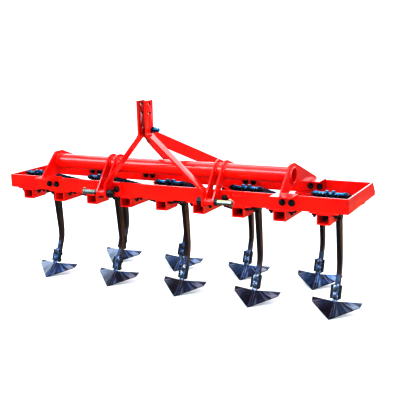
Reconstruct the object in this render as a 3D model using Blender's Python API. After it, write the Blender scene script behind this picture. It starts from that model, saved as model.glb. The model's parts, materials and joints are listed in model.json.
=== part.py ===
"""Mounted field cultivator with nine rigid tines in two rows and duck-foot sweeps.

Metres. X runs along the frame, Y from the hitch side to the rear, Z up, ground at the sweep tips.
Inside this file a place along Y is counted from the front face of the front beam, and a
height from the top of the main frame. The function at() turns these into the part's own frame.
"""
import math

import bmesh
import bpy
from mathutils import Vector

for old in list(bpy.data.objects):
    bpy.data.objects.remove(old, do_unlink=True)

# Main frame, a ring of angle bars
TINE_COUNT = 9
TINE_PITCH = 0.208
FRAME_OVERHANG = 0.115          # from the outer tine's middle to the end of the frame
FRAME_DEPTH = 0.412             # to the rear beam's rear face, its flange stands behind
BEAM_HEIGHT = 0.070
BEAM_WALL = 0.008
BEAM_FLANGE = 0.050
END_CUT = 0.012                 # cut at an end plate's lower rear corner
FRAME_TOP = 0.608               # frame top above the ground
GAP = 0.0003                    # clearance between pieces that touch

# Square tubes under the frame that carry the tines, each with a plate welded on for the beam
TUBE_WIDTH = 0.062
TUBE_HEIGHT = 0.051
TUBE_WALL = 0.006
TUBE_REACH = 0.112              # tube behind the row's own front line
ROW_SETBACK = 0.039             # rear row's front line in front of the rear beam's rear face
ROW_SPACING = FRAME_DEPTH - ROW_SETBACK
SEAT_WIDTH = 0.132
SEAT_DEPTH = 0.080
SEAT_WALL = 0.005

# Tine shank, forged from bar, with a head that plugs into the tube's rear end
SHANK_WIDTH = 0.021
SHANK_LINE = (                  # y and z of the middle line with the depth there, the head first
    (0.238, -0.088, 0.044),
    (0.245, -0.150, 0.043),
    (0.251, -0.200, 0.041),
    (0.260, -0.300, 0.036),
    (0.265, -0.365, 0.030),
    (0.263, -0.405, 0.026),
    (0.251, -0.440, 0.025),
    (0.209, -0.545, 0.025),
)
HEAD_WIDTH = 0.036
PLUG_DEPTH = 0.040              # how far the head goes into the tube
HEAD_TOP = -0.080
HEAD_REAR = 0.262
HEAD_FOOT = -0.128              # lowest point of the head, in front of the shank

# Holder above the tube: a cross bar with end nuts, two posts over it and two side straps
BAR_Y = 0.104
BAR_Z = -0.006
BAR_RADIUS = 0.010
BAR_REACH = 0.078
REAR_ROW_DROP = 0.026           # the rear row's cross bar stands this much lower
NUT_RADIUS = 0.0145
NUT_LENGTH = 0.017
POST_SPREAD = 0.015
POST_WIDTH = 0.014
POST_DEPTH = 0.028
POST_RISE = 0.0185              # post above the bar's middle
YOKE_REACH = 0.070              # half length of the plate under the bar
YOKE_WALL = 0.010
STRAP_X = 0.060                 # from the middle to a strap's inner face
STRAP_WALL = 0.008
STRAP_DEPTH = 0.026
ROD_Y = 0.376
ROD_Z = -0.094
ROD_RADIUS = 0.009
ARM_DEPTH = 0.022

# Duck-foot sweep
SWEEP_TIP_Y = 0.092
SWEEP_HALF = 0.125
SWEEP_BACK = 0.134
SWEEP_RISE = 0.058
SWEEP_WALL = 0.006
WING_END = 0.030                # length of the cut at a wing's end
TONGUE_WIDTH = 0.027
TONGUE_LENGTH = 0.076
CLAMP_WIDTH = 0.054             # plate between the tongue and the shank
CLAMP_WALL = 0.008
CLAMP_LENGTH = 0.070

# Round pipe along the frame and its end brackets
PIPE_RADIUS = 0.038
PIPE_WALL = 0.005
PIPE_Y = 0.074
PIPE_Z = 0.078
PIPE_STICKOUT = 0.006
BRACKET_X = 0.660               # middle of an end bracket's plate
BRACKET_WALL = 0.008
BRACKET_OVERHANG = 0.082        # how far its foot hangs over the front beam
BRACKET_MARGIN = 0.018
BRACKET_HEEL = 0.012            # height of the plate above its feet
FOOT_LENGTH = 0.104
FOOT_WALL = 0.006
FOOT_LAP = 0.030                # front end of the bracket plate behind the front web
FOOT_REACH = 0.092              # top of a rear foot, ahead of its leg

# Lower hitch points
HITCH_X = 0.303                 # middle between the two cheeks of a lower hitch point
CHEEK_GAP = 0.034
CHEEK_WALL = 0.008
CHEEK_EYE = 0.021               # cheek around the eye
CHEEK_MARGIN = 0.015            # cheek around the pipe
EYE_Y = -0.063
EYE_Z = -0.046
LINK_PIN_RADIUS = 0.0125
LINK_SHOULDER_X = 0.3415
LINK_PIN_LENGTH = 0.074
LINK_COLLAR_RADIUS = 0.016
LINK_NUT_RADIUS = 0.022
LINK_NUT_LENGTH = 0.026
HITCH_FOOT = 0.054              # foot plate beside a cheek

# Mast and stays
MAST_Y = -0.117
MAST_BAR_WIDTH = 0.060
MAST_BAR_WALL = 0.010
MAST_LEG_WIDTH = 0.046          # the bar narrows to this below its bend
MAST_SPREAD = 0.021
MAST_TOP = 0.427
MAST_BEND = 0.266
MAST_FOOT_Z = 0.004             # where the spread leg bends to hang at the cheek
MAST_HOLE_RADIUS = 0.0097
MAST_HOLES = (0.409, 0.365)
MAST_BOLT_Y = -0.100
MAST_BOLT_Z = 0.287
MAST_BOLT_RADIUS = 0.009
STAY_HEIGHT = 0.062
STAY_WALL = 0.008
STAY_FRONT_Z = 0.276
STAY_REAR_X = 0.150
STAY_REAR_Z = 0.062

HALF_SPAN = TINE_PITCH * (TINE_COUNT - 1) / 2
FRAME_HALF = HALF_SPAN + FRAME_OVERHANG
FRONT_MOST = MAST_Y - MAST_BAR_WIDTH / 2
REAR_MOST = ROW_SPACING + ROD_Y + STRAP_DEPTH / 2
MID_Y = (FRONT_MOST + REAR_MOST) / 2


def at(x, y, z):
    return (x, y - MID_Y, z + FRAME_TOP)


def material(name, colour, roughness, metallic):
    mat = bpy.data.materials.new(name)
    mat.use_nodes = True
    node = mat.node_tree.nodes["Principled BSDF"]
    node.inputs["Base Color"].default_value = (*colour, 1.0)
    node.inputs["Roughness"].default_value = roughness
    node.inputs["Metallic"].default_value = metallic
    return mat


RED = material("red_paint", (0.80, 0.020, 0.012), 0.35, 0.0)
BLACK = material("black_steel", (0.030, 0.026, 0.024), 0.50, 0.3)
BROWN = material("brown_black_paint", (0.045, 0.030, 0.024), 0.55, 0.0)
STEEL = material("hardened_blue_steel", (0.16, 0.20, 0.28), 0.38, 0.8)
ZINC = material("zinc_plate", (0.62, 0.62, 0.56), 0.32, 0.9)


def body(name, verts, faces):
    """A closed mesh in the part's own frame, with its faces turned outward."""
    mesh = bpy.data.meshes.new(name)
    mesh.from_pydata([at(*v) for v in verts], [], faces)
    work = bmesh.new()
    work.from_mesh(mesh)
    bmesh.ops.remove_doubles(work, verts=work.verts, dist=1e-6)
    bmesh.ops.recalc_face_normals(work, faces=work.faces)
    work.to_mesh(mesh)
    work.free()
    obj = bpy.data.objects.new(name, mesh)
    bpy.context.scene.collection.objects.link(obj)
    return obj


def extrude(name, outline, along):
    """A prism from a flat outline of 3-D points, pushed along one vector."""
    n = len(outline)
    push = Vector(along)
    verts = [Vector(p) for p in outline] + [Vector(p) + push for p in outline]
    faces = [list(range(n))[::-1], list(range(n, 2 * n))]
    faces += [(i, (i + 1) % n, n + (i + 1) % n, n + i) for i in range(n)]
    return body(name, verts, faces)


def plate_yz(name, outline, x0, x1):
    """A plate that lies fore and aft, its outline given as y and z."""
    return extrude(name, [(x0, y, z) for y, z in outline], (x1 - x0, 0, 0))


def box(name, x0, x1, y0, y1, z0, z1):
    return plate_yz(name, [(y0, z0), (y1, z0), (y1, z1), (y0, z1)], x0, x1)


def rod(name, start, end, radius, sides=16):
    """A round or hexagonal rod between two points."""
    a, b = Vector(start), Vector(end)
    axis = (b - a).normalized()
    side = axis.orthogonal().normalized()
    other = axis.cross(side)
    ring = [math.tau * i / sides for i in range(sides)]
    outline = [a + radius * (math.cos(t) * side + math.sin(t) * other) for t in ring]
    return extrude(name, outline, b - a)


def fillet(corners, steps=3):
    """Turns corners given as (y, z, radius) into an outline with rounded corners."""
    out = []
    n = len(corners)
    for i, (y, z, r) in enumerate(corners):
        p = Vector((y, z))
        if r <= 0:
            out.append((y, z))
            continue
        a = (Vector(corners[i - 1][:2]) - p).normalized()
        b = (Vector(corners[(i + 1) % n][:2]) - p).normalized()
        half = a.angle(b) / 2
        mid = (a + b).normalized()
        centre = p + mid * (r / math.sin(half))
        start, end = p + a * (r / math.tan(half)), p + b * (r / math.tan(half))
        s, e = start - centre, end - centre
        turn = s.angle_signed(e)
        for k in range(steps + 1):
            c, d = math.cos(-turn * k / steps), math.sin(-turn * k / steps)
            out.append((centre.x + s.x * c - s.y * d, centre.y + s.x * d + s.y * c))
    return out


def combine(name, parts, cuts=(), mat=RED):
    """One body: the first part with the others united to it and the cuts taken out."""
    main = parts[0]
    for tools, mode in ((parts[1:], "UNION"), (cuts, "DIFFERENCE")):
        for tool in tools:
            mod = main.modifiers.new("shape", "BOOLEAN")
            mod.object = tool
            mod.operation = mode
            mod.solver = "EXACT"
    graph = bpy.context.evaluated_depsgraph_get()
    mesh = bpy.data.meshes.new_from_object(main.evaluated_get(graph))
    for used in list(parts) + list(cuts):
        bpy.data.objects.remove(used, do_unlink=True)
    work = bmesh.new()
    work.from_mesh(mesh)
    bmesh.ops.remove_doubles(work, verts=work.verts, dist=2e-6)
    bmesh.ops.dissolve_limit(work, angle_limit=0.002, verts=work.verts, edges=work.edges)
    work.to_mesh(mesh)
    work.free()
    obj = bpy.data.objects.new(name, mesh)
    bpy.context.scene.collection.objects.link(obj)
    mesh.materials.clear()
    mesh.materials.append(mat)
    return obj


# Main frame: two angle bars, flange at the bottom and to the rear, with an end plate at each side
PLATE_IN = FRAME_HALF - BEAM_WALL
for name, face, half in (("frame_front_beam", 0.0, FRAME_HALF),
                         ("frame_rear_beam", FRAME_DEPTH - BEAM_WALL, PLATE_IN - GAP)):
    web, lip = face + BEAM_WALL, face + BEAM_WALL + BEAM_FLANGE
    profile = [(face, 0.0), (web, 0.0), (web, -BEAM_HEIGHT + BEAM_WALL),
               (lip, -BEAM_HEIGHT + BEAM_WALL), (lip, -BEAM_HEIGHT), (face, -BEAM_HEIGHT)]
    combine(name, [plate_yz(name, profile, -half, half)])
REAR_LIP = FRAME_DEPTH + BEAM_FLANGE
for name, side in (("frame_end_plate_left", -1), ("frame_end_plate_right", 1)):
    a, b = sorted((side * PLATE_IN, side * FRAME_HALF))
    step, lip = -BEAM_HEIGHT + BEAM_WALL + GAP, BEAM_WALL + BEAM_FLANGE + GAP
    front = BEAM_WALL + GAP
    outline = [(front, 0.0), (FRAME_DEPTH, 0.0), (REAR_LIP, -BEAM_HEIGHT + END_CUT),
               (REAR_LIP - END_CUT, -BEAM_HEIGHT), (lip, -BEAM_HEIGHT), (lip, step), (front, step)]
    combine(name, [plate_yz(name, outline, a, b)])

# Square tubes, open at both ends, short for the front row and under both beams for the rear row
TUBE_TOP = -BEAM_HEIGHT - GAP - SEAT_WALL
for i in range(TINE_COUNT):
    x = -HALF_SPAN + TINE_PITCH * i
    rear = TUBE_REACH + (ROW_SPACING if i % 2 else 0.0)
    half, inside = TUBE_WIDTH / 2, TUBE_WIDTH / 2 - TUBE_WALL
    name = f"tine_tube_{i + 1}"
    shell = box(name, x - half, x + half, 0.0, rear, TUBE_TOP - TUBE_HEIGHT, TUBE_TOP)
    bore = box("bore", x - inside, x + inside, -0.01, rear + 0.01,
               TUBE_TOP - TUBE_HEIGHT + TUBE_WALL, TUBE_TOP - TUBE_WALL)
    seats = [(0.0, SEAT_DEPTH)]
    if i % 2:
        seats.append((REAR_LIP - SEAT_DEPTH, REAR_LIP))
    seats = [box("seat", x - SEAT_WIDTH / 2, x + SEAT_WIDTH / 2, y0, y1,
                 TUBE_TOP - 0.001, TUBE_TOP + SEAT_WALL) for y0, y1 in seats]
    combine(name, [shell] + seats, [bore])


def ribbon(line, y):
    """Outline of a bar along a middle line, moved back by y."""
    left, right = [], []
    for k, (a, b, depth) in enumerate(line):
        before, after = Vector(line[max(k - 1, 0)][:2]), Vector(line[min(k + 1, len(line) - 1)][:2])
        way = (after - before).normalized()
        side = Vector((-way.y, way.x)) * depth / 2
        left.append((y + a + side.x, b + side.y))
        right.append((y + a - side.x, b - side.y))
    return left + right[::-1]


def shank_parts(x, y):
    """The bent shank, its flared head and the plug that sits in the tube."""
    half = SHANK_WIDTH / 2
    bar = plate_yz("bar", ribbon(SHANK_LINE, y), x - half, x + half)
    front, (low_y, low_z, deep) = TUBE_REACH + 0.010, SHANK_LINE[1]
    outline = [(front, HEAD_TOP), (HEAD_REAR, HEAD_TOP), (HEAD_REAR, HEAD_FOOT + 0.010),
               (low_y, low_z), (low_y - deep / 2, low_z), (low_y - deep, HEAD_FOOT), (front, HEAD_FOOT + 0.006)]
    head = plate_yz("head", [(y + a, b) for a, b in outline], x - HEAD_WIDTH / 2, x + HEAD_WIDTH / 2)
    side, rise = TUBE_WIDTH / 2 - TUBE_WALL - GAP, TUBE_HEIGHT / 2 - TUBE_WALL - GAP
    middle = TUBE_TOP - TUBE_HEIGHT / 2
    plug = box("plug", x - side, x + side, y + TUBE_REACH - PLUG_DEPTH, y + TUBE_REACH + 0.012,
               middle - rise, middle + rise)
    return [bar, head, plug]


def strap_outline(start, end, width):
    """Outline of a flat strap with round ends, given as y and z."""
    a, b = Vector(start), Vector(end)
    turn = math.atan2(b.y - a.y, b.x - a.x)
    out = []
    for centre, first in ((b, -math.pi / 2), (a, math.pi / 2)):
        for k in range(7):
            t = turn + first + math.pi * k / 6
            out.append((centre.x + math.cos(t) * width / 2, centre.y + math.sin(t) * width / 2))
    return out


def holder_parts(x, y, drop):
    """Cross bar with its nuts and posts, the two side straps, and the rod at their rear."""
    bar_y, bar_z = y + BAR_Y, BAR_Z - drop
    parts = [rod("bar", (x - BAR_REACH + 0.004, bar_y, bar_z), (x + BAR_REACH - 0.004, bar_y, bar_z),
                 BAR_RADIUS, 12)]
    for side in (-1, 1):
        a, b = sorted((x + side * STRAP_X, x + side * (STRAP_X + STRAP_WALL)))
        line = strap_outline((bar_y, bar_z), (y + ROD_Y, ROD_Z), STRAP_DEPTH)
        parts.append(plate_yz("strap", line, a, b))
        tip = x + side * BAR_REACH
        parts.append(rod("nut", (tip, bar_y, bar_z), (tip - side * NUT_LENGTH, bar_y, bar_z), NUT_RADIUS, 6))
        middle, top = x + side * POST_SPREAD, bar_z + POST_RISE
        post = fillet([(bar_y - POST_DEPTH / 2, TUBE_TOP + GAP, 0.0), (bar_y - POST_DEPTH / 2, top, 0.012),
                       (bar_y + POST_DEPTH / 2, top, 0.012), (bar_y + POST_DEPTH / 2, TUBE_TOP + GAP, 0.0)])
        parts.append(plate_yz("post", post, middle - POST_WIDTH / 2, middle + POST_WIDTH / 2))
    parts.append(box("yoke", x - YOKE_REACH, x + YOKE_REACH, bar_y - YOKE_WALL / 2, bar_y + YOKE_WALL / 2,
                     TUBE_TOP + GAP + 0.002, bar_z))
    reach = STRAP_X + STRAP_WALL + 0.006
    parts.append(rod("rod", (x - reach, y + ROD_Y, ROD_Z), (x + reach, y + ROD_Y, ROD_Z), ROD_RADIUS, 12))
    arm = strap_outline((y + HEAD_REAR - ARM_DEPTH, HEAD_TOP - ARM_DEPTH / 2 - 0.001), (y + ROD_Y, ROD_Z), ARM_DEPTH)
    parts.append(plate_yz("arm", arm, x - SHANK_WIDTH / 2, x + SHANK_WIDTH / 2))
    return parts


for i in range(TINE_COUNT):
    x = -HALF_SPAN + TINE_PITCH * i
    y, drop = (ROW_SPACING, REAR_ROW_DROP) if i % 2 else (0.0, 0.0)
    combine(f"tine_{i + 1}", shank_parts(x, y) + holder_parts(x, y, drop), mat=BROWN)


def sweep(name, x, y):
    """Two wings that meet in a nose, the tongue, and the clamp plate between it and the shank."""
    low = -FRAME_TOP
    foot_y, foot_z, deep = SHANK_LINE[-1]
    up_y, up_z, _ = SHANK_LINE[-2]
    way = Vector((up_y - foot_y, up_z - foot_z)).normalized()
    out = Vector((-way.y, way.x))
    face = Vector((foot_y, foot_z)) + out * (deep / 2 + GAP)
    front = face + out * CLAMP_WALL
    tongue = [front - way * 0.004 - out * 0.001, front + way * TONGUE_LENGTH - out * 0.001,
              front + way * (TONGUE_LENGTH - 0.006) + out * SWEEP_WALL,
              front - way * 0.012 + out * SWEEP_WALL]
    clamp = [face + way * 0.003, face + way * CLAMP_LENGTH,
             front + way * CLAMP_LENGTH, front + way * 0.003]
    crown = tongue[3]
    drop = Vector((0, 0.003, -0.0055))
    back = SWEEP_TIP_Y + SWEEP_BACK
    top = [(0, SWEEP_TIP_Y, low - drop.z), (0, crown.x, crown.y + 0.004)]
    for side in (1, -1):
        top += [(side * (SWEEP_HALF - 0.006), back - WING_END * 0.87, low + SWEEP_RISE - WING_END * 0.5),
                (side * SWEEP_HALF, back, low + SWEEP_RISE),
                (side * CLAMP_WIDTH * 0.42, crown.x + 0.016, crown.y - 0.001)]
    top = [Vector((x + a, y + b, c)) for a, b, c in top]
    verts = top + [v + drop for v in top]
    n = len(top)
    faces = []
    rim = [0, 2, 3, 4, 1, 7, 6, 5]
    for loop in ((0, 2, 4, 1), (2, 3, 4), (0, 1, 7, 5), (5, 7, 6)):
        for a, b, c in [(loop[0], loop[k], loop[k + 1]) for k in range(1, len(loop) - 1)]:
            faces += [(a, b, c), (a + n, c + n, b + n)]
    for k, a in enumerate(rim):
        b = rim[(k + 1) % len(rim)]
        faces.append((a, b, b + n, a + n))
    wings = body("wings", verts, faces)
    half = TONGUE_WIDTH / 2
    blade = plate_yz("tongue", [(y + p.x, p.y) for p in tongue], x - half, x + half)
    half = CLAMP_WIDTH / 2
    plate = plate_yz("clamp", [(y + p.x, p.y) for p in clamp], x - half, x + half)
    combine(name, [wings, blade, plate], mat=STEEL)


for i in range(TINE_COUNT):
    sweep(f"sweep_{i + 1}", -HALF_SPAN + TINE_PITCH * i, ROW_SPACING if i % 2 else 0.0)


# Round pipe along the frame, held by a bracket near each end
pipe_end = BRACKET_X + BRACKET_WALL / 2 + PIPE_STICKOUT
pipe = rod("pipe", (-pipe_end, PIPE_Y, PIPE_Z), (pipe_end, PIPE_Y, PIPE_Z), PIPE_RADIUS, 40)
bore = rod("bore", (-pipe_end - 0.01, PIPE_Y, PIPE_Z), (pipe_end + 0.01, PIPE_Y, PIPE_Z),
           PIPE_RADIUS - PIPE_WALL, 40)
combine("cross_pipe", [pipe], [bore])


def pipe_hole(x0, x1):
    return rod("hole", (min(x0, x1) - 0.01, PIPE_Y, PIPE_Z), (max(x0, x1) + 0.01, PIPE_Y, PIPE_Z),
               PIPE_RADIUS + GAP, 40)


def foot(x, half, face, way, ahead, reach=0.0):
    """A bent foot: its leg hangs inside the web, its top runs over the beam or into the frame."""
    inner = face + way * (BEAM_WALL + GAP)
    back = inner + way * FOOT_WALL
    y0, y1 = sorted((face - way * ahead, back + way * reach))
    top = box("foot", x - half, x + half, y0, y1, GAP, GAP + FOOT_WALL)
    y0, y1 = sorted((inner, back))
    return [top, box("leg", x - half, x + half, y0, y1, -BEAM_HEIGHT * 0.8, GAP + FOOT_WALL / 2)]


crest = PIPE_Z + PIPE_RADIUS + BRACKET_MARGIN
sole = GAP + FOOT_WALL / 2
REAR_SOLE = FRAME_DEPTH - BEAM_WALL - FOOT_WALL - FOOT_REACH * 0.9
for name, side in (("pipe_bracket_left", -1), ("pipe_bracket_right", 1)):
    x = side * BRACKET_X
    a, b = x - BRACKET_WALL / 2, x + BRACKET_WALL / 2
    toe, heel = -BRACKET_OVERHANG, FRAME_DEPTH - BEAM_WALL
    outline = fillet([(toe, sole, 0.0), (toe, sole + BRACKET_HEEL * 1.6, 0.010),
                      (PIPE_Y - PIPE_RADIUS, crest, 0.020), (PIPE_Y + PIPE_RADIUS / 2, crest, 0.022),
                      (heel, sole + BRACKET_HEEL, 0.006), (heel, sole, 0.0), (REAR_SOLE, sole, 0.0),
                      (PIPE_Y + PIPE_RADIUS * 1.6, PIPE_Z * 0.28, 0.0),
                      (PIPE_Y - PIPE_RADIUS * 0.3, PIPE_Z * 0.28, 0.0), (FOOT_LAP / 2, sole, 0.0)])
    parts = [plate_yz(name, outline, a, b)]
    parts += foot(x, FOOT_LENGTH / 2, 0.0, 1, BRACKET_OVERHANG)
    parts += foot(x, FOOT_LENGTH / 2, FRAME_DEPTH, -1, 0.0, FOOT_REACH)
    combine(name, parts, [pipe_hole(a, b)])

# Lower hitch points: two cheeks from the eye over the pipe and back to the rear beam
EYE, PIPE_MIDDLE = Vector((EYE_Y, EYE_Z)), Vector((PIPE_Y, PIPE_Z))
CHEEK_IN = HITCH_X - CHEEK_GAP / 2 - CHEEK_WALL
for name, side in (("hitch_left", -1), ("hitch_right", 1)):
    x = side * HITCH_X
    reach = CHEEK_GAP / 2 + CHEEK_WALL
    grow = PIPE_RADIUS + CHEEK_MARGIN
    span = PIPE_MIDDLE - EYE
    start = math.atan2(span.y, span.x) + math.pi / 2 + math.asin((grow - CHEEK_EYE) / span.length)
    back = math.radians(64)
    heel = FRAME_DEPTH - BEAM_WALL

    def around(middle, radius, first, last):
        turns = [first + (last - first) * k / 6 for k in range(7)]
        return [(middle.x + radius * math.cos(t), middle.y + radius * math.sin(t)) for t in turns]

    ring = around(EYE, CHEEK_EYE, start, math.radians(275))
    ring += [(0.0, -BEAM_HEIGHT * 0.92), (0.004, GAP * 2), (0.012, 0.013),
             (PIPE_Y - PIPE_RADIUS * 0.5, PIPE_Z - PIPE_RADIUS * 0.9),
             (PIPE_Y + PIPE_RADIUS * 0.9, PIPE_Z - PIPE_RADIUS * 1.15),
             (REAR_SOLE, sole), (heel, sole), (heel, sole + BRACKET_HEEL)]
    ring += around(PIPE_MIDDLE, grow, back, start)
    parts = []
    for out in (-1, 1):
        a, b = sorted((x + out * CHEEK_GAP / 2, x + out * reach))
        parts.append(plate_yz("cheek", ring, a, b))
    parts.insert(1, rod("spacer", (x - reach + 0.002, EYE_Y, EYE_Z), (x + reach - 0.002, EYE_Y, EYE_Z),
                        LINK_COLLAR_RADIUS, 20))
    wide = reach + HITCH_FOOT
    parts.append(box("foot", x - wide, x + wide, -GAP - FOOT_WALL, -GAP, -BEAM_HEIGHT * 0.92, -BRACKET_HEEL * 0.6))
    parts += foot(x, FOOT_LENGTH / 2, FRAME_DEPTH, -1, 0.0, FOOT_REACH)
    bore = rod("bore", (x - wide, EYE_Y, EYE_Z), (x + wide, EYE_Y, EYE_Z), LINK_PIN_RADIUS + GAP, 20)
    slot = box("slot", x - reach - 0.01, x + reach + 0.01, -GAP, FRAME_DEPTH / 2, -BEAM_HEIGHT * 2, GAP)
    combine(name, parts, [bore, slot, pipe_hole(x - reach, x + reach)])

# Lower link pins: a collar outside the cheek, and inside it the mast's foot and a nut
MAST_FOOT_X = CHEEK_IN - GAP - MAST_BAR_WALL / 2
for name, side in (("link_pin_left", -1), ("link_pin_right", 1)):
    outer = side * (HITCH_X + CHEEK_GAP / 2 + CHEEK_WALL)
    inner = side * (MAST_FOOT_X - MAST_BAR_WALL / 2 - GAP)
    shoulder = side * LINK_SHOULDER_X

    def turned(a, b, radius, sides=20):
        return rod("bar", (a, EYE_Y, EYE_Z), (b, EYE_Y, EYE_Z), radius, sides)

    parts = [turned(inner - side * (LINK_NUT_LENGTH + 0.006), shoulder + side * LINK_PIN_LENGTH, LINK_PIN_RADIUS),
             turned(outer + side * GAP, shoulder, LINK_COLLAR_RADIUS),
             turned(inner, inner - side * LINK_NUT_LENGTH, LINK_NUT_RADIUS, 6)]
    combine(name, parts, mat=ZINC)


def flat_bar(name, rows, cuts=()):
    """A bent bar lofted through four-cornered sections, each a list of x, y, z points."""
    verts = [p for row in rows for p in row]
    faces = []
    for k in range(0, len(verts) - 4, 4):
        for a, b in ((0, 1), (1, 2), (2, 3), (3, 0)):
            faces.append((k + a, k + b, k + 4 + b, k + 4 + a))
    last = len(verts) - 4
    faces += [(0, 1, 2, 3), (last, last + 1, last + 2, last + 3)]
    return combine(name, [body(name, verts, faces)], cuts)


# Mast: two bent flat bars, close together at the top, whose legs spread to the cheeks and pins
for name, side in (("mast_bar_left", -1), ("mast_bar_right", 1)):
    half, foot_x = MAST_BAR_WALL / 2, MAST_FOOT_X
    leg = Vector((foot_x - MAST_SPREAD, MAST_FOOT_Z - MAST_BEND))
    mitre = half * math.tan(leg.angle(Vector((0, -1))) / 2)
    way = leg.normalized()
    part = 0.07                     # share of the leg over which it narrows
    stations = (                    # x, z, outward x and z to the face, y, width
        (MAST_SPREAD, MAST_TOP, half, 0.0, MAST_Y, MAST_BAR_WIDTH),
        (MAST_SPREAD, MAST_BEND, half, mitre, MAST_Y, MAST_BAR_WIDTH),
        (MAST_SPREAD + leg.x * part, MAST_BEND + leg.y * part, -way.y * half, way.x * half,
         MAST_Y + (EYE_Y - MAST_Y) * part, MAST_LEG_WIDTH),
        (foot_x, MAST_FOOT_Z, half, mitre, EYE_Y, MAST_LEG_WIDTH),
        (foot_x, EYE_Z - CHEEK_EYE, half, 0.0, EYE_Y, MAST_LEG_WIDTH))
    rows = []
    for x, z, ox, oz, y, width in stations:
        y0, y1 = y - width / 2, y + width / 2
        inner, outer = (side * (x - ox), z - oz), (side * (x + ox), z + oz)
        rows.append([(inner[0], y0, inner[1]), (outer[0], y0, outer[1]),
                     (outer[0], y1, outer[1]), (inner[0], y1, inner[1])])
    holes = [rod("hole", (0.0, MAST_Y, z), (side * MAST_SPREAD * 2, MAST_Y, z), MAST_HOLE_RADIUS, 20)
             for z in MAST_HOLES]
    holes.append(rod("hole", (0.0, MAST_BOLT_Y, MAST_BOLT_Z), (side * MAST_SPREAD * 2, MAST_BOLT_Y, MAST_BOLT_Z),
                     MAST_BOLT_RADIUS + GAP, 16))
    holes.append(rod("hole", (side * (foot_x - 0.05), EYE_Y, EYE_Z), (side * (foot_x + 0.05), EYE_Y, EYE_Z),
                     LINK_PIN_RADIUS + GAP, 20))
    flat_bar(name, rows, holes)

# Stays from between the mast bars back and outward to the rear beam
STAY_X = MAST_SPREAD - MAST_BAR_WALL / 2 - GAP - STAY_WALL
for name, side in (("rear_stay_left", -1), ("rear_stay_right", 1)):
    behind = MAST_Y + MAST_BAR_WIDTH / 2
    start, rear = MAST_Y - MAST_BAR_WIDTH * 0.3, FRAME_DEPTH - 0.002
    front_top = STAY_FRONT_Z + 0.012
    fall = (STAY_REAR_Z - front_top) / (rear - behind)
    stations = ((STAY_X, start, MAST_BOLT_Z - 0.016, MAST_BOLT_Z + 0.018),        # x, y, lower and upper z
                (STAY_X, behind - 0.004, front_top - STAY_HEIGHT * 0.8, front_top),
                (STAY_X, behind + 0.004, front_top - STAY_HEIGHT, front_top + fall * 0.004),
                (STAY_REAR_X, rear - BEAM_WALL, GAP - BEAM_WALL * fall, STAY_REAR_Z - BEAM_WALL * fall),
                (STAY_REAR_X, rear, GAP, STAY_REAR_Z))
    rows = [[(side * x, y, low), (side * (x + STAY_WALL), y, low),
             (side * (x + STAY_WALL), y, high), (side * x, y, high)] for x, y, low, high in stations]
    hole = rod("hole", (0.0, MAST_BOLT_Y, MAST_BOLT_Z), (side * MAST_SPREAD, MAST_BOLT_Y, MAST_BOLT_Z),
               MAST_BOLT_RADIUS + GAP, 16)
    flat_bar(name, rows, [hole])

# Bolt through the mast bars and the front ends of the stays, with a spacer between the stays
edge = MAST_SPREAD + MAST_BAR_WALL / 2 + GAP
middle = STAY_X - GAP


def across(a, b, radius, sides):
    return rod("turned", (a, MAST_BOLT_Y, MAST_BOLT_Z), (b, MAST_BOLT_Y, MAST_BOLT_Z), radius, sides)


combine("mast_bolt", [across(-edge - 0.012, edge + 0.036, MAST_BOLT_RADIUS, 16),
                      across(-middle, middle, MAST_BOLT_RADIUS * 1.4, 16),
                      across(-edge - 0.011, -edge, MAST_BOLT_RADIUS * 1.7, 6),
                      across(edge, edge + 0.015, MAST_BOLT_RADIUS * 1.7, 6)], mat=BLACK)
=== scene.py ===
# Field cultivator: nine rigid tines under a red welded frame, standing on its own sweeps
# on a pale studio floor, seen from its front right corner.
import json
import math

import bmesh
import bpy
from mathutils import Matrix, Vector

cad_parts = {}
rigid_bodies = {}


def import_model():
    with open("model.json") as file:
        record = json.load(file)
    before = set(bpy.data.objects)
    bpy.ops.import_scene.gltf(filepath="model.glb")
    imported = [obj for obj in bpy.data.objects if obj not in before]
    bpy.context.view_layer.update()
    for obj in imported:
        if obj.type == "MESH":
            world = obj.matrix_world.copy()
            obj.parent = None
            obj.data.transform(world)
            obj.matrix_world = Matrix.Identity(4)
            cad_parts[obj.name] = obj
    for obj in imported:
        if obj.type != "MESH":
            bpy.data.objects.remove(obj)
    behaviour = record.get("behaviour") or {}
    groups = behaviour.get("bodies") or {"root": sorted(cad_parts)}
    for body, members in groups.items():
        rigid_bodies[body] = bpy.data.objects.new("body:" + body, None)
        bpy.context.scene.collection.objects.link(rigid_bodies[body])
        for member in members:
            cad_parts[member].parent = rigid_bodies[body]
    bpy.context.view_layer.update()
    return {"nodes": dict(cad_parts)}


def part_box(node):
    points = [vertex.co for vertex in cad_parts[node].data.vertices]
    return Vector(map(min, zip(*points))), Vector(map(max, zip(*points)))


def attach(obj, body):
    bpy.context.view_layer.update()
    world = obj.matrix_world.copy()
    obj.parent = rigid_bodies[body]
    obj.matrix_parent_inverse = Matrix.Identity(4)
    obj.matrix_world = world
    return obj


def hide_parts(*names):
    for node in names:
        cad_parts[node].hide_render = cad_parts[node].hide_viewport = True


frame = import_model()

# Camera, floor and light. The camera stands off the right front corner, a little above the
# frame, with a short telephoto lens. The studio is a pale room with a bright wall and a window
# behind the machine, one long softbox overhead and a large one in front.
BEAM_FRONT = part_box("frame_front_beam")[0][1]
BEAM_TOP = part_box("frame_front_beam")[1][2]


def spot(x, y, z):
    """A place counted from the front beam: x from the middle, y behind its face, z above its top."""
    return Vector((x, BEAM_FRONT + y, BEAM_TOP + z))


def ends(node, axis):
    """Where a node's box starts and ends along an axis, counted as in spot, to a micrometre."""
    along = "xyz".index(axis)
    return [round(corner[along] - (0.0, BEAM_FRONT, BEAM_TOP)[along], 6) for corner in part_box(node)]


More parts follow.
